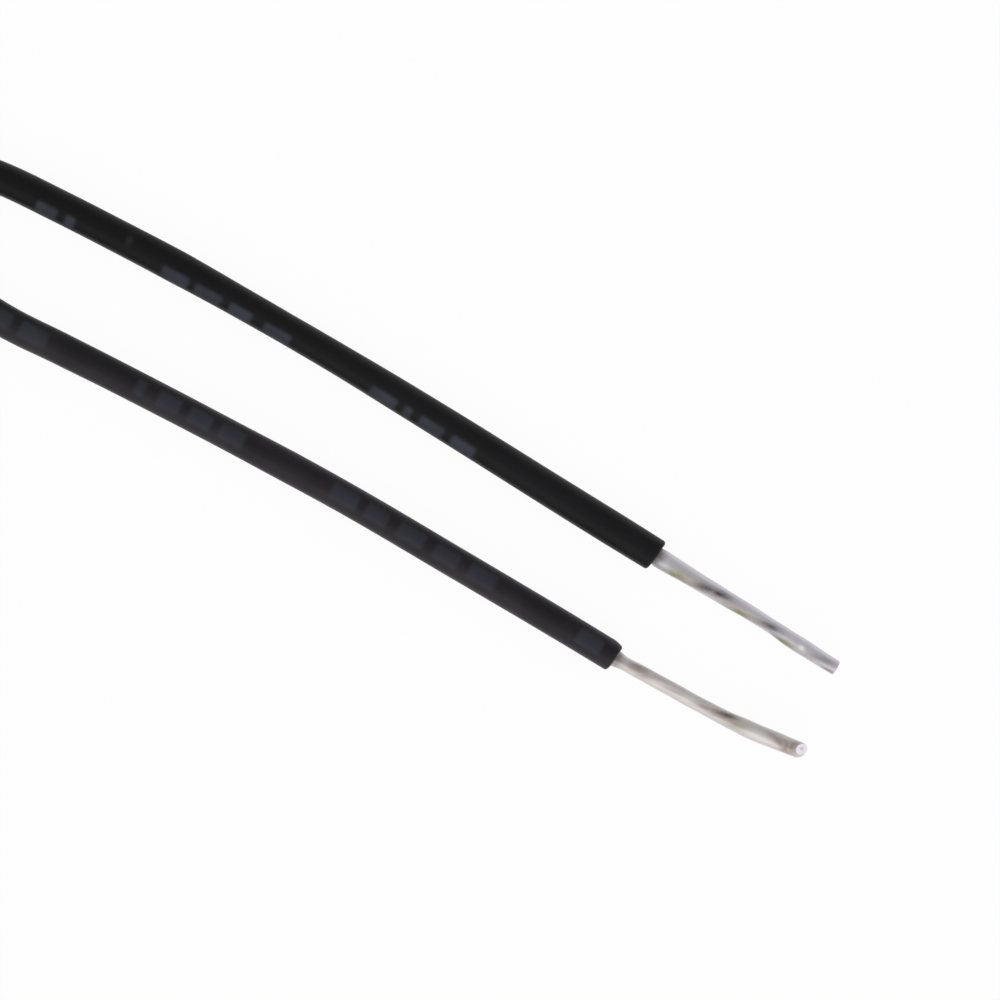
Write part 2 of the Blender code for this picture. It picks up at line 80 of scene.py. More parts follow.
endRoutes = {
    "a": [
        (64.40, 2.075, 0.635), (67.30, 1.985, 0.635), (68.50, 1.89, 0.635), (70.60, 1.785, 0.635),
    ],
    "b": [
        (64.60, -2.23, 0.635), (66.60, -2.208, 0.635), (68.00, -2.155, 0.65), (69.20, -2.052, 0.68),
        (70.00, -1.944, 0.715), (70.93, -1.82, 0.76),
    ],
}

view = {
    "aim": (55.5, 1.0),        # the point at the middle of the picture
    "width": 40.3,             # across the picture
    "height": 250.0,           # camera above the surface
    "turn": 29.5,              # degrees, how the leads slant down to the right
    "sensor": 36.0,
    "nearClip": 0.01,
}


def makeCamera():
    data = bpy.data.cameras.new("camera")
    data.sensor_width = view["sensor"]
    data.lens = view["sensor"] * (view["height"] - wire["diameter"] / 2) / view["width"]
    data.clip_start = view["nearClip"]
    camera = bpy.data.objects.new("camera", data)
    bpy.context.scene.collection.objects.link(camera)
    camera.location = Vector((*view["aim"], view["height"])) * mm
    camera.rotation_euler = (0, 0, math.radians(view["turn"]))
    bpy.context.scene.camera = camera
    bpy.context.scene.view_settings.view_transform = "Standard"
    print("camera: straight down, frame", view["width"], "mm wide")


# Colour and node helpers

def hexColour(text):
    # sRGB hex to the linear values that shaders take
    values = [int(text[i:i + 2], 16) / 255 for i in (1, 3, 5)]
    linear = [v / 12.92 if v <= 0.04045 else ((v + 0.055) / 1.055) ** 2.4 for v in values]
    return (*linear, 1.0)


def setInputs(tree, node, values):
    # values maps an input's name or number to a socket or a plain value
    for place, value in values.items():
        if isinstance(value, bpy.types.NodeSocket):
            tree.links.new(value, node.inputs[place])
        else:
            node.inputs[place].default_value = value


def addNode(tree, kind, values=None, **settings):
    node = tree.nodes.new(kind)
    for name, value in settings.items():
        setattr(node, name, value)
    setInputs(tree, node, values or {})
    return node


def newFinish(name):
    material = bpy.data.materials.new(name)
    material.use_nodes = True
    tree = material.node_tree
    return material, tree, tree.nodes["Principled BSDF"]


# Sweeping

def catmullRom(points, spacing):
    # centripetal, through every point, read off about every spacing
    points = [np.array(p, float) for p in points]
    ends = [2 * points[0] - points[1]] + points + [2 * points[-1] - points[-2]]
    out = []
    for p0, p1, p2, p3 in zip(ends, ends[1:], ends[2:], ends[3:]):
        t1 = np.linalg.norm(p1 - p0) ** 0.5
        t2 = t1 + np.linalg.norm(p2 - p1) ** 0.5
        t3 = t2 + np.linalg.norm(p3 - p2) ** 0.5
        steps = max(1, round(np.linalg.norm(p2 - p1) / spacing))
        t = t1 + (t2 - t1) * np.arange(steps)[:, None] / steps
        a1 = p0 + (p1 - p0) * t / t1
        a2 = p1 + (p2 - p1) * (t - t1) / (t2 - t1)
        a3 = p2 + (p3 - p2) * (t - t2) / (t3 - t2)
        b1 = a1 + (a2 - a1) * t / t2
        b2 = a2 + (a3 - a2) * (t - t1) / (t3 - t1)
        out.append(b1 + (b2 - b1) * (t - t1) / (t2 - t1))
    return np.vstack(out + [points[-1][None]])


def lengthsAlong(path):
    return np.r_[0, np.cumsum(np.linalg.norm(np.diff(path, axis=0), axis=1))]


def evenly(path, spacing):
    # the same path, read off at even steps
    lengths = lengthsAlong(path)
    count = max(2, round(lengths[-1] / spacing)) + 1
    at = np.linspace(0, lengths[-1], count)
    return np.column_stack([np.interp(at, lengths, path[:, i]) for i in range(3)]), at


def directions(path):
    # along, sideways to the left, and up, at each point
    along = np.gradient(path, axis=0)
    along /= np.linalg.norm(along, axis=1)[:, None]
    side = np.cross((0, 0, 1), along)
    side /= np.linalg.norm(side, axis=1)[:, None]
    return along, side, np.cross(along, side)


def anglesRound(sides):
    # where each point of a ring stands, and its degrees from the top toward the picture's lower side
    turn = 2 * np.pi * np.arange(sides) / sides
    return turn, np.degrees(np.arctan2(-np.cos(turn), np.sin(turn)))


def ringsOver(path, across, up, sideways, upward):
    return path[:, None] + across[:, None] * sideways[..., None] + up[:, None] * upward[..., None]


def smoothStep(t):
    t = np.clip(t, 0, 1)
    return t * t * (3 - 2 * t)


sharpAngle = 50                # degrees: steeper edges stay crisp


def skin(name, rings, marks, material):
    # quads over rings of equal length, closed at both ends; marks are values kept on each point
    count, sides = rings.shape[:2]
    corner = np.arange(count * sides).reshape(count, sides)
    nextCorner = np.roll(corner, -1, axis=1)
    faces = np.stack([corner[:-1], nextCorner[:-1], nextCorner[1:], corner[1:]], axis=-1)
    allFaces = [tuple(f) for f in faces.reshape(-1, 4).tolist()]
    allFaces += [tuple(corner[0][::-1].tolist()), tuple(corner[-1].tolist())]
    mesh = bpy.data.meshes.new(name)
    mesh.from_pydata((rings.reshape(-1, 3) * mm).tolist(), [], allFaces)
    mesh.shade_smooth()
    mesh.set_sharp_from_angle(angle=math.radians(sharpAngle))
    for mark, values in marks.items():
        layer = mesh.attributes.new(mark, "FLOAT", "POINT")
        layer.data.foreach_set("value", np.ascontiguousarray(values, np.float32).ravel())
    mesh.materials.append(material)
    piece = bpy.data.objects.new(name, mesh)
    bpy.context.scene.collection.objects.link(piece)
    return piece


def lookUp(table, at):
    # straight lines between a table's rows
    return np.interp(at, [row[0] for row in table], [row[1] for row in table])


# Leads

# The storage coil: three turns side by side, one lead over the other
coil = {
    "centre": (22.0, -8.4),
    "meanRadius": 7.05,
    "turns": 3,
    "start": 77.6,             # degrees, where the leads come down into it
    "sweep": {"a": (8, 1054), "b": (8, 1077)},
    "step": 4,                 # degrees between the route's points
    "firstStepOut": 110,       # degrees over which the leads move out to the inner turn
    "laterStepOut": 65,        # and from each turn to the next
    "roll": (-30, 130),        # the pair rolls to one over the other: from, over how many degrees
    "sink": (-25, 135),        # and comes down off the turns that it lies across
    "topZ": 3.27,              # a lead lying across the coil
    "middleZ": 1.285,          # between the two layers
    "bandLift": 0.17,          # the wires rise over the band
    "bandSpread": 2.6,         # how far along them they do so
}


def coilRoute(letter):
    # one lead's turns: down past the other lead, three times round, out on the outer turn
    first, last = coil["sweep"][letter]
    theta = np.arange(first, last + coil["step"], coil["step"], dtype=float)
    outward = smoothStep(theta / coil["firstStepOut"])
    for whole in range(1, coil["turns"]):
        outward = outward + smoothStep((theta - 360 * whole) / coil["laterStepOut"])
    middle = coil["meanRadius"] + pitch * (outward - (coil["turns"] + 1) / 2)
    rollFrom, rollOver = coil["roll"]
    sinkFrom, sinkOver = coil["sink"]
    tilt = np.radians(90) * smoothStep((theta - rollFrom) / rollOver)
    sunk = smoothStep((theta - sinkFrom) / sinkOver)
    height = coil["topZ"] + (coil["middleZ"] - coil["topZ"]) * sunk
    offset = pitch / 2 * sideOf[letter]
    radius = middle + offset * np.cos(tilt)
    z = height + offset * np.sin(tilt)
    # the band goes round at the coil's -Y side, a quarter turn below its middle
    pastBand = theta - (coil["start"] + 90)
    fromBand = np.radians((pastBand + 180) % 360 - 180) * radius
    z = z + coil["bandLift"] * np.exp(-(fromBand / coil["bandSpread"]) ** 2)
    polar = np.radians(coil["start"] - theta)
    x = coil["centre"][0] + radius * np.cos(polar)
    y = coil["centre"][1] + radius * np.sin(polar)
    return [tuple(p) for p in np.column_stack([x, y, z])]


jacket = {
    "sides": 56,
    "routeStep": 0.05,         # between points of the smooth route
    "hiddenStep": 0.35,        # between rings, before the picture's edge
    "visibleStep": 0.08,       # and in the picture
    "visibleFrom": 27.0,       # X, a little before the picture's edge
    "coilShare": 0.7,          # the coil's turns lie in this first share of the route
    "freeLength": 42.0,        # back from the stripped end, where the widths below hold
    # real widths, by X, as the jackets bulge and neck a little
    "widths": {
        "a": [
            (28.0, 1.29), (31.7, 1.34), (36.9, 1.34), (39.5, 1.36), (42.0, 1.28), (44.6, 1.245),
            (47.2, 1.26), (49.8, 1.32), (52.3, 1.35), (57.5, 1.38), (60.1, 1.39), (61.98, 1.36),
        ],
        "b": [
            (28.0, 1.28), (34.5, 1.35), (37.1, 1.32), (39.7, 1.29), (44.8, 1.27), (47.4, 1.30),
            (50.0, 1.277), (55.0, 1.27), (60.3, 1.253), (62.56, 1.24),
        ],
    },
    # rounding of the cut end: inward and forward
    "rim": {"a": (0.14, 0.12), "b": (0.15, 0.12)},
    "rimAngles": (18, 36, 54, 72, 90),
    "slant": {"a": 0.06, "b": 0.05},           # how far off square the cut is, per length across
    "slantReach": 0.6,
    "waves": (0.010, 3, 1.0),                  # the cut's waviness: height, how many, phase
    "shave": {"a": None, "b": (0.22, 0.055)},  # length and depth of the shaved corner
    "shaveFocus": 4,           # the more, the narrower that corner
    "wallShares": (0.3, 0.6, 0.92, 1.0),       # rings over the cut wall, from rim to bore
    "wallSink": 0.4,           # how much of the rim's forward reach is gone at the bore
    "dish": 0.02,              # the cut face sinks a little between rim and bore
    "boreRoom": 0.05,
    "boreMouth": 0.3,          # depth of the first ring inside the bore
}

# Plain bars in place of print: (X from, X to, middle and half height round the wire in degrees)
bars = {
    "a": [
        (33.4, 34.3, 38, 22), (34.7, 35.1, 38, 22),
        (39.1, 40.3, 38, 22), (40.6, 41.8, 38, 22), (42.2, 43.2, 38, 22), (43.8, 45.0, 38, 22),
        (48.8, 50.0, 38, 22), (50.35, 50.7, 38, 22), (51.1, 52.2, 38, 22), (52.6, 53.7, 38, 22),
    ],
    "b": [
        (34.2, 34.9, -4, 31), (35.3, 36.5, -4, 31),
        (40.5, 40.9, -4, 31), (41.5, 42.5, -4, 31), (42.9, 43.9, -4, 31), (44.3, 45.4, -4, 31),
        (49.4, 50.6, -4, 31), (51.0, 52.0, -4, 31), (52.5, 53.7, -4, 31), (54.2, 55.3, -4, 31),
        (55.8, 57.0, -4, 31), (60.9, 62.0, -4, 31),
    ],
    "strength": {"a": 0.76, "b": 0.46},
    "corner": 0.12,
    "softness": 0.22,
}

# Where handling has rubbed the jackets, with painted sheen: lighter toward lead b's lower side, and
# along both upper edges
rubAndSheen = {
    # round the wire: least, most, and the degrees between which it rises; on lead b this is painted
    # sheen, lighter toward the picture's lower side where the light falls
    "round": {"a": (0.10, 0.12, -10, 50), "b": (0.36, 0.90, -25, 45)},
    # toward the picture's left edge: how much less of it, from what X, and over what length
    "fade": {"a": (0.9, 52, 16), "b": (0.15, 48, 16)},
    # unevenness along the wire: depth, radians a millimetre, phase
    "uneven": ((0.15, 0.9, 1.0), (0.10, 2.3, 0.0)),
    # painted rim sheen along the upper edge: it comes in over the first two degrees, goes out over the
    # last two, and has this strength by X
    "edge": (-30, -60, -100, -140),
    "edgeByX": {"a": [(40, 0.0), (60, 0.3)], "b": [(36, 0.0), (42, 0.35), (48, 0.75)]},
    # short scuffs: X, degrees, length, half height, strength
    "scuffs": {"a": [(37.4, -4, 0.12, 16, 0.6)], "b": [(46.1, -30, 0.9, 12, 0.25)]},
}


def barMask(letter, x, degrees):
    # 1 inside a bar and 0 outside, with round corners and soft edges
    corner = bars["corner"]
    mask = np.zeros_like(x)
    for start, stop, middle, half in bars[letter]:
        past = np.abs(x - (start + stop) / 2) - (stop - start) / 2 + corner
        above = np.radians(np.abs(degrees - middle) - half) * wire["diameter"] / 2 + corner
        outside = np.hypot(np.maximum(past, 0), np.maximum(above, 0)) - corner
        mask = np.maximum(mask, smoothStep(0.5 - outside / bars["softness"]))
    return mask * bars["strength"][letter]


def rubAndSheenMask(letter, x, degrees):
    # round the wire: on lead b, painted sheen that rises toward the picture's lower side
    least, most, low, high = rubAndSheen["round"][letter]
    mask = least + (most - least) * smoothStep((degrees - low) / (high - low))
    less, fadeFrom, fadeLength = rubAndSheen["fade"][letter]
    mask = mask * (1 - less * np.clip((fadeFrom - x) / fadeLength, 0, 1))
    uneven = 1
    for depth, rate, phase in rubAndSheen["uneven"]:
        uneven = uneven + depth * np.sin(rate * x + phase)
    mask = mask * uneven
    # painted rim sheen along the upper edge, a reflection painted into the colour
    start, full, fading, stop = rubAndSheen["edge"]
    comesIn = smoothStep((degrees - start) / (full - start))
    goesOut = smoothStep((degrees - stop) / (fading - stop))
    mask = mask + comesIn * goesOut * lookUp(rubAndSheen["edgeByX"][letter], x)
    for at, middle, length, half, strength in rubAndSheen["scuffs"][letter]:
        spot = np.exp(-((x - at) / length) ** 2 - ((degrees - middle) / half) ** 2)
        mask = mask + strength * spot
    return mask


def leadPath(letter):
    # the whole centreline, from inside the bead to the stripped end, and the distance along it
    start = (wire["insideX"], sideOf[letter] * pitch / 2, wire["axisZ"])
    route = [start] + beadRoutes[letter] + coilRoute(letter) + freeRoutes[letter]
    fine = catmullRom(route, jacket["routeStep"])
    pastCoil = np.arange(len(fine)) > len(fine) * jacket["coilShare"]
    seen = np.argmax((fine[:, 0] > jacket["visibleFrom"]) & pastCoil)
    hidden, _ = evenly(fine[:seen + 1], jacket["hiddenStep"])
    visible, _ = evenly(fine[seen:], jacket["visibleStep"])
    path = np.vstack([hidden[:-1], visible])
    return path, lengthsAlong(path)


def jacketEnd(letter, edge, centre, along):
    # rings past the last outer one: the rounded rim, the cut wall and the bore
    lift = edge @ along
    flatEdge = edge - np.outer(lift, along)
    reach = np.linalg.norm(flatEdge, axis=1)
    outward = flatEdge / reach[:, None]
    rimIn, rimOut = jacket["rim"][letter]
    rings = []
    for angle in np.radians(jacket["rimAngles"]):
        r = reach - rimIn * (1 - math.cos(angle))
        rings.append(centre + outward * r[:, None] + np.outer(lift + rimOut * math.sin(angle), along))
    bore = wire["conductor"] / 2 + jacket["boreRoom"]
    wall = reach - rimIn
    for share in jacket["wallShares"]:
        r = wall + (bore - wall) * share
        sunk = jacket["dish"] * math.sin(math.pi * share)
        forward = (lift + rimOut) * (1 - jacket["wallSink"] * share) - sunk
        rings.append(centre + outward * r[:, None] + np.outer(forward, along))
    for depth in (jacket["boreMouth"], wire["boreDepth"]):
        rings.append(centre + outward * bore - along * depth)
    return np.array(rings)


def makeJacket(letter, material):
    path, distance = leadPath(letter)
    along, across, up = directions(path)
    turn, degrees = anglesRound(jacket["sides"])
    toEnd = distance[-1] - distance
    isFree = toEnd < jacket["freeLength"]
    width = np.where(isFree, lookUp(jacket["widths"][letter], path[:, 0]), wire["diameter"])
    sideways = np.cos(turn)[None, :] * width[:, None] / 2
    upward = np.sin(turn)[None, :] * wire["diameter"] / 2
    outer = ringsOver(path, across, up, sideways, upward)

    # the cut is off square and a little wavy, and one corner may be shaved off
    slant = jacket["slant"][letter] * np.cos(turn) * width[-1] / 2
    waveHeight, waveCount, wavePhase = jacket["waves"]
    wave = waveHeight * np.sin(waveCount * turn + wavePhase)
    near = np.clip(1 - toEnd / jacket["slantReach"], 0, 1)
    outer = outer + along[:, None] * (near[:, None] * (slant + wave)[None, :])[..., None]
    if jacket["shave"][letter]:
        length, depth = jacket["shave"][letter]
        corner = np.clip(np.cos(turn), 0, 1) ** jacket["shaveFocus"]
        shave = np.clip(1 - toEnd / length, 0, 1)[:, None] * corner[None, :]
        outer = outer - across[:, None] * (shave * depth)[..., None]

    endRings = jacketEnd(letter, outer[-1] - path[-1], path[-1], along[-1])
    rings = np.concatenate([outer, endRings])
    extra = len(endRings)
    shape = rings.shape[:2]
    # the end's rings take the rubbing and painted sheen of a place just past the end, and no bars
    x = np.broadcast_to(np.r_[path[:, 0], np.full(extra, path[-1, 0] + 1)][:, None], shape)
    isPrinted = np.r_[isFree, np.zeros(extra, bool)][:, None]
    marks = {
        "lengthMm": np.broadcast_to(np.r_[distance, np.full(extra, distance[-1])][:, None], shape),
        "roundMm": np.broadcast_to(np.radians(degrees)[None, :] * wire["diameter"] / 2, shape),
        "bars": barMask(letter, x, degrees[None, :]) * isPrinted,
        "rubbedAndSheen": np.broadcast_to(rubAndSheenMask(letter, x, degrees[None, :]), shape),
    }
    piece = skin("jacket_" + letter, rings, marks, material)
    print("jacket", letter, "centreline", round(distance[-1], 1), "mm,", len(rings), "rings")
    return piece, path * mm


# Tinned ends

solder = {
    "sides": 78,
    "routeStep": 0.02,         # between points of the smooth route
    "step": 0.045,             # between rings
    # (distance from the jacket, diameter) of the solder over the strands
    "profile": {
        "a": [
            (-1.2, 0.61), (0.0, 0.68), (0.12, 0.77), (0.30, 0.80), (1.50, 0.74), (2.30, 0.69),
            (3.30, 0.645), (4.10, 0.625), (5.50, 0.575), (6.10, 0.635), (6.90, 0.67), (7.90, 0.62),
            (9.00, 0.62),
        ],
        "b": [
            (-1.2, 0.61), (0.0, 0.70), (0.18, 0.70), (0.36, 0.58), (0.60, 0.53), (1.30, 0.605),
            (4.00, 0.585), (5.10, 0.63), (6.10, 0.72), (7.00, 0.70), (8.00, 0.675), (9.00, 0.66),
        ],
    },
    "smoothing": 7,            # rings over which those diameters run into each other
    # slow unevenness of it: size, radians a millimetre, times round, phase
    "swell": ((0.006, 1.9, 2, 0.7), (0.003, 4.3, -1, 2.0)),
    # how much the strands show through, by distance
    "strandDepth": {
        "a": [(0, 0.002), (1.5, 0.004), (3.0, 0.006), (5.5, 0.006), (6.5, 0.003), (9.0, 0.003)],
        "b": [(0, 0.004), (0.6, 0.007), (4.0, 0.006), (5.5, 0.004), (7.0, 0.003), (9.0, 0.003)],
    },
    # how far the cut leans along the wire, per length across and per length up
    "slope": {"a": (-0.02, 0.08), "b": (0.10, -0.88)},
    "leanReach": 0.9,
    # the bevel and the cut face: (share of the section, forward)
    "tip": {
        "a": [
            (0.98, 0.010), (0.93, 0.022), (0.75, 0.024), (0.5, 0.020), (0.25, 0.016), (0.08, 0.014),
        ],
        "b": [
            (0.95, 0.020), (0.86, 0.055), (0.76, 0.090), (0.68, 0.106), (0.60, 0.112), (0.46, 0.106),
            (0.30, 0.096), (0.18, 0.090), (0.06, 0.088),
        ],
    },
    "tipShift": {"a": 0.0, "b": 0.09},         # the cut face lies toward the picture's upper side
    "shiftOver": 0.4,          # the share of the section over which it gets there
    "faceShare": {"a": 0.90, "b": 0.72},       # the cut's bright face, and how softly it starts
    "faceBlend": 0.06,
    "coreShare": 0.22,         # the middle strand shows darker in it
    "coreBlend": 0.10,
    "lower": 0.012,            # the solder hangs a little toward the picture's lower side
}

# What the dip left on the metal, with painted shade and painted highlights among it: (distance, degrees
# round from the top, half length, half height, lean in degrees per length, strength). Most of it leans
# as the strands lie.
lay = -360 / wire["strandLay"]
smearsAndPaintedLight = {
    "a": {
        # painted shade: a long darker band round the middle of the top, and the jacket's shadow on the
        # metal next to it
        "paintedShade": [(4.5, 6, 9.0, 40, 0, 0.20), (0.18, -2, 0.30, 68, 0, 0.88)],
        "brown": [
            (2.20, 30, 0.65, 26, lay, 0.55), (2.95, 20, 0.55, 24, lay, 0.50),
            (3.60, 24, 0.55, 24, lay, 0.40), (5.10, 30, 0.50, 24, lay, 0.50),
            (7.50, 28, 0.50, 22, lay, 0.40), (8.40, 50, 0.35, 18, lay, 0.45),
        ],
        "olive": [
            (1.22, 36, 0.58, 34, lay, 0.85), (4.20, 42, 0.62, 28, lay, 0.85),
            (6.30, 52, 0.60, 26, lay, 0.85), (8.42, 64, 0.26, 16, 0, 0.38),
        ],
        "dark": [
            (2.50, 11, 0.52, 28, lay, 0.72), (3.08, -1, 0.52, 27, lay, 0.78),
            (5.52, 11, 0.44, 28, lay, 0.72), (8.05, -2, 0.50, 28, lay, 0.36),
        ],
        # a painted glint: a tiny near-white spot
        "paintedHighlight": [(7.02, 9, 0.11, 15, 0, 0.6)],
    },
    "b": {
        # painted shade: the upper side darker all along, away from the light, and the jacket's shadow
        # on the metal next to it
        "paintedShade": [(4.0, -50, 9.0, 26, 0, 0.22), (0.16, -6, 0.30, 72, 0, 0.93)],
        "brown": [
            (1.12, -4, 0.55, 32, lay, 0.55), (1.45, 16, 0.42, 24, lay, 0.50),
            (2.20, -34, 0.80, 18, lay, 0.25), (4.20, 6, 0.50, 24, lay, 0.52),
            (4.85, -6, 0.60, 30, lay, 0.60), (7.60, 2, 0.60, 28, 46, 0.65),
            (8.02, 26, 0.36, 42, 0, 0.70), (8.38, 4, 0.24, 62, 0, 0.62),
        ],
        "olive": [(2.90, 8, 0.55, 26, lay, 0.30), (5.70, 14, 0.50, 34, lay, 0.50)],
        "dark": [
            (1.05, -32, 0.40, 18, lay, 0.30), (5.22, -28, 0.42, 23, lay, 0.70),
            (7.95, -14, 0.30, 20, 40, 0.25), (8.28, -4, 0.34, 44, 0, 0.17),
        ],
        # a painted highlight: a lighter patch on the middle of the top
        "paintedHighlight": [(3.45, -2, 0.50, 22, lay, 0.22)],
    },
}


def spotMask(spots, distance, degrees):
    mask = np.zeros(np.broadcast(distance, degrees).shape)
    for at, middle, length, half, lean, strength in spots:
        off = degrees - middle - lean * (distance - at)
        spot = np.exp(-((distance - at) / length) ** 2 - (off / half) ** 2)
        mask = np.maximum(mask, strength * spot)
    return mask


def solderRadius(letter, distance, turn):
    # the pooled solder's own thickness, with the strands just showing through it
    diameter = lookUp(solder["profile"][letter], distance)
    window = solder["smoothing"]
    padded = np.pad(diameter, window // 2, mode="edge")
    smooth = np.convolve(padded, np.ones(window) / window, mode="valid")
    d, t = distance[:, None], turn[None, :]
    strands = wire["outerStrands"] * (t + 2 * np.pi * d / wire["strandLay"])
    depth = lookUp(solder["strandDepth"][letter], distance)[:, None]
    groove = -2 * depth * (1 - np.abs(np.cos(strands / 2)))
    swell = 0
    for size, rate, times, phase in solder["swell"]:
        swell = swell + size * np.sin(rate * d + times * t + phase)
    radius = smooth[:, None] / 2 + depth + groove + swell - solder["lower"] * np.cos(t)
    inside = distance < 0
    radius[inside] = wire["conductor"] / 2 + groove[inside]
    return radius


def makeTinnedEnd(letter, material):
    freeEnd = np.array(freeRoutes[letter][-1])
    before = np.array(freeRoutes[letter][-2])
    inward = (before - freeEnd) / np.linalg.norm(before - freeEnd)
    hidden = wire["boreDepth"] - wire["gap"]
    route = [freeEnd + inward * hidden, freeEnd] + endRoutes[letter]
    path, distance = evenly(catmullRom(route, solder["routeStep"]), solder["step"])
    distance = distance - hidden
    along, across, up = directions(path)
    turn, degrees = anglesRound(solder["sides"])

    radius = solderRadius(letter, distance, turn)
    slopeAcross, slopeUp = solder["slope"][letter]
    sideways = radius * np.cos(turn)[None, :]
    upward = radius * np.sin(turn)[None, :]
    rings = ringsOver(path, across, up, sideways, upward)
    near = np.clip(1 - (distance[-1] - distance) / solder["leanReach"], 0, 1)
    lean = near[:, None] * (sideways * slopeAcross + upward * slopeUp)
    rings = rings + along[:, None] * lean[..., None]

    # the bevel round the cut, and the cut face with its middle strand
    last = rings[-1]
    centre = last.mean(axis=0)
    tip = solder["tip"][letter]
    tipShares = np.array([share for share, forward in tip])
    tipForward = np.array([forward for share, forward in tip])
    shift = across[-1] * solder["tipShift"][letter]
    tipRings = [
        centre + (last - centre) * share + along[-1] * forward
        + shift * min(1, (1 - share) / solder["shiftOver"])
        for share, forward in tip
    ]
    rings = np.concatenate([rings, np.array(tipRings)])
    shares = np.r_[np.ones(len(distance)), tipShares]
    fullDistance = np.r_[distance, distance[-1] + tipForward]
    isFace = smoothStep((solder["faceShare"][letter] - shares) / solder["faceBlend"] + 0.5)[:, None]
    isCore = smoothStep((solder["coreShare"] - shares) / solder["coreBlend"] + 0.5)[:, None]
    marks = {
        kind: spotMask(spots, fullDistance[:, None], degrees[None, :]) * (1 - isFace)
        for kind, spots in smearsAndPaintedLight[letter].items()
    }
    marks["cutFace"] = np.broadcast_to(isFace, rings.shape[:2])
    marks["core"] = np.broadcast_to(isCore, rings.shape[:2])
    piece = skin("tinned_" + letter, rings, marks, material)
    print("tinned end", letter, "bare length", round(distance[-1], 2), "mm")
    return piece


# Bead

bead = {
    "noseX": -4.175,
    "radius": wire["axisZ"],
    "noseLength": 2.4585,      # from the nose to the thickest place
    "neckHalfWidth": 1.635,
    "neckHalfHeight": 0.985,
    "sides": 96,
    "noseRings": 20, "neckRings": 25, "collarRings": 17,
    "firstRing": 0.004,        # how far from the very nose the first ring is
    "collarLength": 0.55,      # how far the epoxy climbs along each jacket
    "collarSink": 0.55,        # how far inside the neck the two collars begin to part
    "collarBlend": 0.2,        # how far past the neck they have their full shape
    "collarLip": 0.08,         # epoxy over the jacket at the collar's end
    "collarRoot": 0.22,        # more of it at the neck
    "lipEdge": ((0.012, 0.020), (0.045, 0.032)),   # its round edge: share inward, forward
    "unevenness": 0.010,       # of the section, as a share
    "unevenTwist": 0.9,        # and how it turns along the bead, in radians a millimetre
}


def neckHalves(u):
    # half width and half height of the dipped drop, by distance from its nose
    noseLength, radius = bead["noseLength"], bead["radius"]
    if u < noseLength:
        share = math.sqrt(max(0.0, 1 - (1 - u / noseLength) ** 2))
        return radius * share, radius * share
    blend = smoothStep((u - noseLength) / (wire["neckX"] - bead["noseX"] - noseLength))
    width = radius + (bead["neckHalfWidth"] - radius) * blend
    height = radius + (bead["neckHalfHeight"] - radius) * blend
    return width, height


def collarReach(share, turn):
    # outline of the two collars together, seen along the leads, by direction from the middle
    wall = bead["collarLip"] + bead["collarRoot"] * (1 - share) ** 2
    radius = wire["diameter"] / 2 + wall
    spread = pitch / 2
    return spread * np.abs(np.cos(turn)) + np.sqrt(radius ** 2 - (spread * np.sin(turn)) ** 2)


def makeCoat(material):
    # the dipped drop, drawn out into a collar round each jacket, as one skin
    total = wire["neckX"] - bead["noseX"]
    parting = total - bead["collarSink"]
    end = total + bead["collarLength"]
    turn, _ = anglesRound(bead["sides"])
    quarter = [math.pi / 2 * i / bead["noseRings"] for i in range(1, bead["noseRings"] + 1)]
    nose = [bead["noseLength"] * (1 - math.cos(angle)) for angle in quarter]
    neck = list(np.linspace(bead["noseLength"], parting, bead["neckRings"] + 1)[1:])
    collar = list(np.linspace(parting, end, bead["collarRings"] + 1)[1:])
    rings = []
    for u in [bead["firstRing"]] + nose + neck + collar:
        width, height = neckHalves(min(u, total))
        reach = width * height / np.hypot(height * np.cos(turn), width * np.sin(turn))
        reach = reach * (1 + bead["unevenness"] * np.sin(2 * turn + bead["unevenTwist"] * u))
        if u > parting:
            share = (u - parting) / (end - parting)
            drawn = smoothStep((u - parting) / (bead["collarSink"] + bead["collarBlend"]))
            reach = reach + (collarReach(share, turn) - reach) * drawn
        rings.append(np.column_stack([
            np.full(bead["sides"], bead["noseX"] + u),
            reach * np.cos(turn), wire["axisZ"] + reach * np.sin(turn),
        ]))
    middle = np.array((0, 0, wire["axisZ"]))
    for inward, forward in bead["lipEdge"]:
        edge = rings[-1] - middle
        rings.append(edge * (1, 1 - inward, 1 - inward) + middle + np.array((forward, 0, 0)))
    coat = skin("bead_coat", np.array(rings), {}, material)
    print("bead coat:", len(coat.data.polygons), "faces")
    return coat


# Band round the coil

band = {
    "width": 2.5, "thickness": 0.14,
    "slack": 0.03,             # round the turns
    "cornerSteps": 8,
    "step": 0.12,              # between sections
    "overlap": 3.2,            # how far the end lies over the start
    "rampLength": 0.9,         # the lap steps up over the start
    "lapGap": 0.01,
    "liftedEnd": (0.05, 0.8),  # its very end lifts a little: height, length
    "edgeWave": (0.012, 5),    # the cut edges: height, radians a millimetre
    "edgeBulge": 0.01,
    "edgeRounding": 0.05,
}


def bandLoop():
    # the inside of the band: a loop with round corners over all the turns, from above the inner one
    corner = wire["diameter"] / 2 + band["slack"]
    centreY, slack = coil["centre"][1], band["slack"]
    ring = coil["turns"] * pitch / 2
    inner = math.sqrt((coil["meanRadius"] - ring) ** 2 - (band["width"] / 2) ** 2)
    low = (centreY - coil["meanRadius"] - ring - slack, coil["bandLift"] - slack)
    high = (centreY - inner + slack, coil["bandLift"] + wire["diameter"] + pitch + slack)
    centres = [
        (high[0] - corner, high[1] - corner, 0), (low[0] + corner, high[1] - corner, 90),
        (low[0] + corner, low[1] + corner, 180), (high[0] - corner, low[1] + corner, 270),
    ]
    loop = []
    for y, z, start in centres:
        for i in range(band["cornerSteps"] + 1):
            angle = math.radians(start + 90 * i / band["cornerSteps"])
            loop.append((0, y + corner * math.cos(angle), z + corner * math.sin(angle)))
    return np.array(loop + [loop[0]])


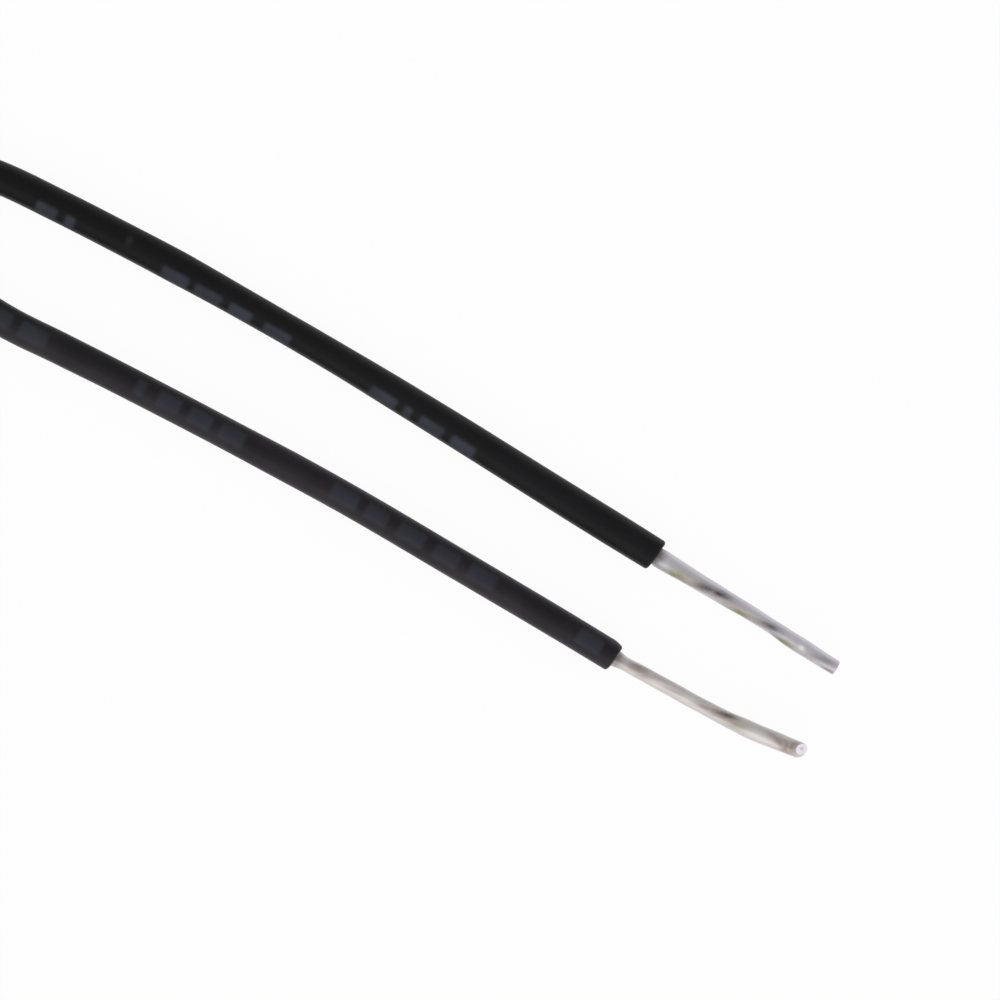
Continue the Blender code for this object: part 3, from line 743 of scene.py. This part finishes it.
def makeBand(material):
    # a strip of tape taken once round the turns, its end pressed down over its start
    path, distance = evenly(bandLoop(), band["step"])
    whole = distance[-1]
    more = int(band["overlap"] / band["step"])
    path = np.vstack([path, path[1:more]])
    distance = np.r_[distance, whole + distance[1:more]]
    tangent = np.gradient(path, axis=0)
    tangent /= np.linalg.norm(tangent, axis=1)[:, None]
    out = np.column_stack([np.zeros(len(path)), tangent[:, 2], -tangent[:, 1]])
    thickness, ramp = band["thickness"], band["rampLength"]
    over = smoothStep((distance - whole + ramp) / ramp) * (thickness + band["lapGap"])
    liftHeight, liftLength = band["liftedEnd"]
    lifted = liftHeight * np.clip((distance - distance[-1] + liftLength) / liftLength, 0, 1) ** 2
    path = path + out * (over + lifted)[:, None]
    waveHeight, waveRate = band["edgeWave"]
    rings = []
    for point, outward, d in zip(path, out, distance):
        edge = band["width"] / 2 + waveHeight * math.sin(waveRate * d)
        bulge = edge + band["edgeBulge"]
        top = edge - band["edgeRounding"]
        section = [
            (-edge, 0.0), (edge, 0.0), (bulge, 0.3), (edge, 0.9), (top, 1.0),
            (0, 1.0), (-top, 1.0), (-edge, 0.9), (-bulge, 0.3),
        ]
        rings.append([
            (coil["centre"][0] + x, *(point[1:] + outward[1:] * share * thickness))
            for x, share in section
        ])
    piece = skin("tape_band", np.array(rings), {}, material)
    print("band:", round(distance[-1], 1), "mm of tape,", len(rings), "sections")
    return piece


# Finishes

def fepJacketFinish():
    # Extruded FEP, carbon black: very low index, so a deep black with a soft waxy sheen.
    # Die lines run along it about 0.05 mm apart, and are drawn at 0.12 mm so that they show.
    # Its patterns lie on lengthMm and roundMm, so their scales are per millimetre.
    material, tree, shader = newFinish("extruded black FEP")
    length, around, bar, rubAndSheenMark = (
        addNode(tree, "ShaderNodeAttribute", attribute_name=mark).outputs["Fac"]
        for mark in ("lengthMm", "roundMm", "bars", "rubbedAndSheen")
    )
    where = addNode(tree, "ShaderNodeCombineXYZ", {"X": length, "Y": around}).outputs[0]
    dieLines = addNode(tree, "ShaderNodeMapping", {"Vector": where, "Scale": (0.25, 8.0, 1.0)})
    lines = addNode(
        tree, "ShaderNodeTexNoise", {"Vector": dieLines.outputs[0], "Scale": 1.0, "Detail": 3.0},
    ).outputs["Fac"]
    # handling marks, about 1 mm across
    blotch = addNode(
        tree, "ShaderNodeTexNoise", {"Vector": where, "Scale": 0.9, "Detail": 4.0},
    ).outputs["Fac"]
    # ink worn a little thin in patches, about 1 mm across
    worn = addNode(
        tree, "ShaderNodeTexNoise", {"Vector": where, "Scale": 1.0, "Detail": 1.0},
    ).outputs["Fac"]
    patchy = addNode(
        tree, "ShaderNodeMapRange",
        {"Value": worn, "From Min": 0.30, "From Max": 0.65, "To Min": 0.65, "To Max": 1.0},
    )
    ink = addNode(tree, "ShaderNodeMath", {0: bar, 1: patchy.outputs[0]}, operation="MULTIPLY")
    tone = addNode(
        tree, "ShaderNodeMix", {"Factor": blotch, "A": hexColour("#060507"), "B": hexColour("#09080b")},
        data_type="RGBA",
    )
    # patches in the rubbing and its painted sheen
    patchiness = addNode(
        tree, "ShaderNodeMapRange",
        {"Value": blotch, "From Min": 0.3, "From Max": 0.7, "To Min": 0.8, "To Max": 1.15},
    )
    amount = addNode(
        tree, "ShaderNodeMath", {0: rubAndSheenMark, 1: patchiness.outputs[0]}, operation="MULTIPLY", use_clamp=True,
    )
    # the rubbing and the painted sheen: a dull grey mixed in where that mark lies
    rubbedAndSheen = addNode(
        tree, "ShaderNodeMix",
        {"Factor": amount.outputs[0], "A": tone.outputs["Result"], "B": hexColour("#2e2a2f")},
        data_type="RGBA",
    )
    colour = addNode(
        tree, "ShaderNodeMix",
        {"Factor": ink.outputs[0], "A": rubbedAndSheen.outputs["Result"], "B": hexColour("#3c404a")},
        data_type="RGBA",
    )
    rough = addNode(
        tree, "ShaderNodeMapRange",
        {"Value": blotch, "From Min": 0.3, "From Max": 0.7, "To Min": 0.36, "To Max": 0.46},
    )
    bump = addNode(tree, "ShaderNodeBump", {"Height": lines, "Strength": 0.2, "Distance": 0.02 * mm})
    setInputs(tree, shader, {
        "Base Color": colour.outputs["Result"], "Roughness": rough.outputs[0],
        "Normal": bump.outputs["Normal"], "IOR": 1.34, "Specular IOR Level": 0.29,
    })
    return material


def solderDippedFinish(name, low, high):
    # Stranded copper dipped in tin-lead solder: pale satin metal, stained where flux dried on it, with
    # painted shade and painted highlights mixed into its colour.
    material, tree, shader = newFinish(name)
    place = addNode(tree, "ShaderNodeTexCoord").outputs["Object"]
    # frozen grain of the solder, about 0.14 mm, and slow clouds, about 0.6 mm
    grain = addNode(
        tree, "ShaderNodeTexNoise", {"Vector": place, "Scale": 7 / mm, "Detail": 3.0},
    ).outputs["Fac"]
    cloud = addNode(
        tree, "ShaderNodeTexNoise", {"Vector": place, "Scale": 1.6 / mm, "Detail": 2.0},
    ).outputs["Fac"]
    metal = addNode(
        tree, "ShaderNodeMix", {"Factor": cloud, "A": hexColour(low), "B": hexColour(high)},
        data_type="RGBA",
    )
    ragged = addNode(
        tree, "ShaderNodeMapRange",
        {"Value": grain, "From Min": 0.3, "From Max": 0.7, "To Min": 0.88, "To Max": 1.10},
    )
    layers = metal.outputs["Result"]
    # the grey #6b6664 is painted shade and the near-white #fbf6fb a painted highlight; the rest are
    # stains, the cut face and its core
    stainsAndPaintedLight = (
        ("paintedShade", "#6b6664"), ("olive", "#868259"), ("brown", "#846a57"), ("dark", "#2f2a2a"),
        ("paintedHighlight", "#fbf6fb"), ("cutFace", "#ece7f0"), ("core", "#cfccd3"),
    )
    for mark, colour in stainsAndPaintedLight:
        mask = addNode(tree, "ShaderNodeAttribute", attribute_name=mark)
        amount = addNode(
            tree, "ShaderNodeMath", {0: mask.outputs["Fac"], 1: ragged.outputs[0]},
            operation="MULTIPLY", use_clamp=True,
        )
        mix = addNode(
            tree, "ShaderNodeMix", {"Factor": amount.outputs[0], "A": layers, "B": hexColour(colour)},
            data_type="RGBA",
        )
        layers = mix.outputs["Result"]
    rough = addNode(
        tree, "ShaderNodeMapRange",
        {"Value": cloud, "From Min": 0.3, "From Max": 0.7, "To Min": 0.42, "To Max": 0.54},
    )
    lumps = addNode(tree, "ShaderNodeBump", {"Height": cloud, "Strength": 0.4, "Distance": 0.05 * mm})
    bump = addNode(tree, "ShaderNodeBump", {
        "Height": grain, "Strength": 0.12, "Distance": 0.01 * mm, "Normal": lumps.outputs["Normal"],
    })
    setInputs(tree, shader, {
        "Base Color": layers, "Roughness": rough.outputs[0],
        "Normal": bump.outputs["Normal"], "Metallic": 0.95,
    })
    return material


def epoxyFinish():
    # Dipped black epoxy: glossy from surface tension, with faint orange peel about 0.7 mm across.
    material, tree, shader = newFinish("dipped black epoxy")
    place = addNode(tree, "ShaderNodeTexCoord").outputs["Object"]
    peel = addNode(
        tree, "ShaderNodeTexNoise", {"Vector": place, "Scale": 1.5 / mm, "Detail": 2.0},
    ).outputs["Fac"]
    dust = addNode(
        tree, "ShaderNodeTexNoise", {"Vector": place, "Scale": 6 / mm, "Detail": 5.0},
    ).outputs["Fac"]
    tone = addNode(
        tree, "ShaderNodeMix", {"Factor": dust, "A": hexColour("#080809"), "B": hexColour("#0f0f10")},
        data_type="RGBA",
    )
    rough = addNode(
        tree, "ShaderNodeMapRange",
        {"Value": dust, "From Min": 0.35, "From Max": 0.65, "To Min": 0.13, "To Max": 0.22},
    )
    bump = addNode(tree, "ShaderNodeBump", {"Height": peel, "Strength": 0.25, "Distance": 0.06 * mm})
    setInputs(tree, shader, {
        "Base Color": tone.outputs["Result"], "Roughness": rough.outputs[0],
        "Normal": bump.outputs["Normal"], "IOR": 1.5, "Specular IOR Level": 0.42,
    })
    return material


def tapeFinish():
    # Crepe paper tape, off-white: fine creases across it about 0.3 mm apart.
    material, tree, shader = newFinish("white crepe paper tape")
    place = addNode(tree, "ShaderNodeTexCoord").outputs["Object"]
    crease = addNode(
        tree, "ShaderNodeTexWave",
        {"Vector": place, "Scale": 1.1 / mm, "Distortion": 6.0, "Detail": 3.0},
        bands_direction="X",
    ).outputs["Fac"]
    fibre = addNode(
        tree, "ShaderNodeTexNoise", {"Vector": place, "Scale": 5 / mm, "Detail": 4.0},
    ).outputs["Fac"]
    tone = addNode(
        tree, "ShaderNodeMix", {"Factor": fibre, "A": hexColour("#c9c6bc"), "B": hexColour("#e4e2da")},
        data_type="RGBA",
    )
    height = addNode(tree, "ShaderNodeMath", {0: crease, 1: fibre}, operation="ADD")
    bump = addNode(
        tree, "ShaderNodeBump", {"Height": height.outputs[0], "Strength": 0.5, "Distance": 0.03 * mm},
    )
    setInputs(tree, shader, {
        "Base Color": tone.outputs["Result"], "Roughness": 0.8, "Normal": bump.outputs["Normal"],
    })
    return material


def innerFinish(name, low, high, roughness, metallic, grainsPerMm):
    # For the chip, its joints and its wires, which the coating hides.
    material, tree, shader = newFinish(name)
    place = addNode(tree, "ShaderNodeTexCoord").outputs["Object"]
    grain = addNode(
        tree, "ShaderNodeTexNoise", {"Vector": place, "Scale": grainsPerMm / mm, "Detail": 4.0},
    ).outputs["Fac"]
    tone = addNode(
        tree, "ShaderNodeMix", {"Factor": grain, "A": hexColour(low), "B": hexColour(high)},
        data_type="RGBA",
    )
    bump = addNode(tree, "ShaderNodeBump", {"Height": grain, "Strength": 0.3, "Distance": 0.01 * mm})
    setInputs(tree, shader, {
        "Base Color": tone.outputs["Result"], "Roughness": roughness, "Metallic": metallic,
        "Normal": bump.outputs["Normal"],
    })
    return material


def dress(node, material):
    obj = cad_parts[node]
    obj.data.materials.clear()
    obj.data.materials.append(material)


# Stage

stage = {
    "floorHalf": 600.0,
    "floorGap": 0.01,          # the floor lies a hair below the wires
    "whiteShare": 0.95,        # how much of the floor is plain white to the camera
    # how bright the room is: above, on the picture's lower and upper sides, and at the low white wall
    "overhead": 0.75,
    "nearSide": 1.10,
    "farSide": 0.60,
    "wall": 1.0,
    # where those sides begin and end, from -1 at the upper side to 1 at the lower one
    "nearRange": (0.1, 0.85),
    "farRange": (-0.7, -0.1),
    "wallRange": (0.14, 0.34),                 # it reaches 8 degrees up, and fades out by 20
    "softbox": (400, 260),
    "softboxPower": 0.14,
    "softboxColour": (1.0, 0.985, 0.97),
    "softboxAway": 260,        # toward the picture's lower side, and up
}


def makeFloor():
    half = stage["floorHalf"] * mm
    mesh = bpy.data.meshes.new("floor")
    corners = [(-half, -half, 0), (half, -half, 0), (half, half, 0), (-half, half, 0)]
    mesh.from_pydata(corners, [], [(0, 1, 2, 3)])
    floor = bpy.data.objects.new("floor", mesh)
    bpy.context.scene.collection.objects.link(floor)
    floor.location = (view["aim"][0] * mm, 0, -stage["floorGap"] * mm)
    material, tree, shader = newFinish("white sweep paper")
    setInputs(tree, shader, {"Base Color": hexColour("#f2f2f2"), "Roughness": 0.9})
    path = addNode(tree, "ShaderNodeLightPath")
    seenOrGlossy = addNode(
        tree, "ShaderNodeMath", {0: path.outputs["Is Camera Ray"], 1: path.outputs["Is Glossy Ray"]},
        operation="ADD",
    )
    seen = addNode(
        tree, "ShaderNodeMath", {0: seenOrGlossy.outputs[0], 1: path.outputs["Is Transmission Ray"]},
        operation="ADD", use_clamp=True,
    )
    share = addNode(
        tree, "ShaderNodeMath", {0: seen.outputs[0], 1: stage["whiteShare"]}, operation="MULTIPLY",
    )
    white = addNode(tree, "ShaderNodeEmission", {"Color": (1, 1, 1, 1), "Strength": 1.0})
    mix = addNode(
        tree, "ShaderNodeMixShader", {0: share.outputs[0], 1: shader.outputs[0], 2: white.outputs[0]},
    )
    tree.links.new(mix.outputs[0], tree.nodes["Material Output"].inputs["Surface"])
    mesh.materials.append(material)


def makeSoftbox(pictureDown):
    data = bpy.data.lights.new("front softbox", "AREA")
    data.shape = "RECTANGLE"
    data.size, data.size_y = stage["softbox"][0] * mm, stage["softbox"][1] * mm
    data.energy = stage["softboxPower"]
    data.color = stage["softboxColour"]
    lamp = bpy.data.objects.new("front softbox", data)
    bpy.context.scene.collection.objects.link(lamp)
    aim = Vector((*view["aim"], 0))
    lamp.location = (aim + (pictureDown + Vector((0, 0, 1))) * stage["softboxAway"]) * mm
    lamp.rotation_euler = (aim * mm - lamp.location).to_track_quat("-Z", "Y").to_euler()


def makeLight():
    world = bpy.data.worlds.new("soft room")
    world.use_nodes = True
    tree = world.node_tree
    room = tree.nodes["Background"]
    room.inputs["Color"].default_value = (1, 1, 1, 1)
    turn = math.radians(view["turn"])
    pictureDown = Vector((math.sin(turn), -math.cos(turn), 0))
    look = addNode(tree, "ShaderNodeTexCoord")
    facing = addNode(
        tree, "ShaderNodeVectorMath", {0: look.outputs["Generated"], 1: pictureDown},
        operation="DOT_PRODUCT",
    )
    height = addNode(tree, "ShaderNodeSeparateXYZ", {0: look.outputs["Generated"]})
    # each: what it goes by, its range there, and its levels at the range's ends
    ramps = {}
    for name, value, span, levels in (
        ("near", facing.outputs["Value"], "nearRange", (0.0, stage["nearSide"] - stage["overhead"])),
        ("far", facing.outputs["Value"], "farRange", (stage["farSide"], stage["overhead"])),
        ("wall", height.outputs["Z"], "wallRange", (1.0, 0.0)),
    ):
        ramps[name] = addNode(
            tree, "ShaderNodeMapRange",
            {"Value": value, "From Min": stage[span][0], "From Max": stage[span][1],
             "To Min": levels[0], "To Max": levels[1]},
            interpolation_type="SMOOTHSTEP",
        )
    above = addNode(
        tree, "ShaderNodeMath", {0: ramps["near"].outputs[0], 1: ramps["far"].outputs[0]},
        operation="ADD",
    )
    level = addNode(
        tree, "ShaderNodeMix",
        {"Factor": ramps["wall"].outputs[0], "A": above.outputs[0], "B": stage["wall"]},
        data_type="FLOAT",
    )
    tree.links.new(level.outputs[0], room.inputs["Strength"])
    bpy.context.scene.world = world
    makeSoftbox(pictureDown)


# Build

makeCamera()
fep = fepJacketFinish()
tinned = {
    "a": solderDippedFinish("solder-dipped strands, grey", "#cac7cf", "#dad7de"),
    "b": solderDippedFinish("solder-dipped strands, cream", "#cdc8c6", "#dcd7d5"),
}
epoxy = epoxyFinish()

jackets = {letter: makeJacket(letter, fep) for letter in ("a", "b")}
ends = {letter: makeTinnedEnd(letter, tinned[letter]) for letter in ("a", "b")}
tape = makeBand(tapeFinish())
coat = makeCoat(epoxy)

for letter in ("a", "b"):
    piece, path = jackets[letter]
    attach(piece, "root")
    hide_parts("bead_lead_" + letter, "lead_coil", "free_lead_" + letter)
    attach(ends[letter], "root")
    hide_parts("tinned_end_" + letter)
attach(tape, "root")
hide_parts("coil_tie")
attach(coat, "root")
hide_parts("bead_coating")

dress("thermistor_chip", innerFinish("fired oxide ceramic", "#3a332e", "#4c443d", 0.7, 0.0, 20))
for letter in ("a", "b"):
    joint = innerFinish("hand-laid solder " + letter, "#b4b2b5", "#cfccce", 0.32, 1.0, 4)
    dress("solder_joint_" + letter, joint)
    innerWire = innerFinish("tinned copper " + letter, "#c2b9b2", "#d8cfca", 0.4, 1.0, 9)
    dress("chip_wire_" + letter, innerWire)

makeFloor()
makeLight()
print("scene: dressed and lit")
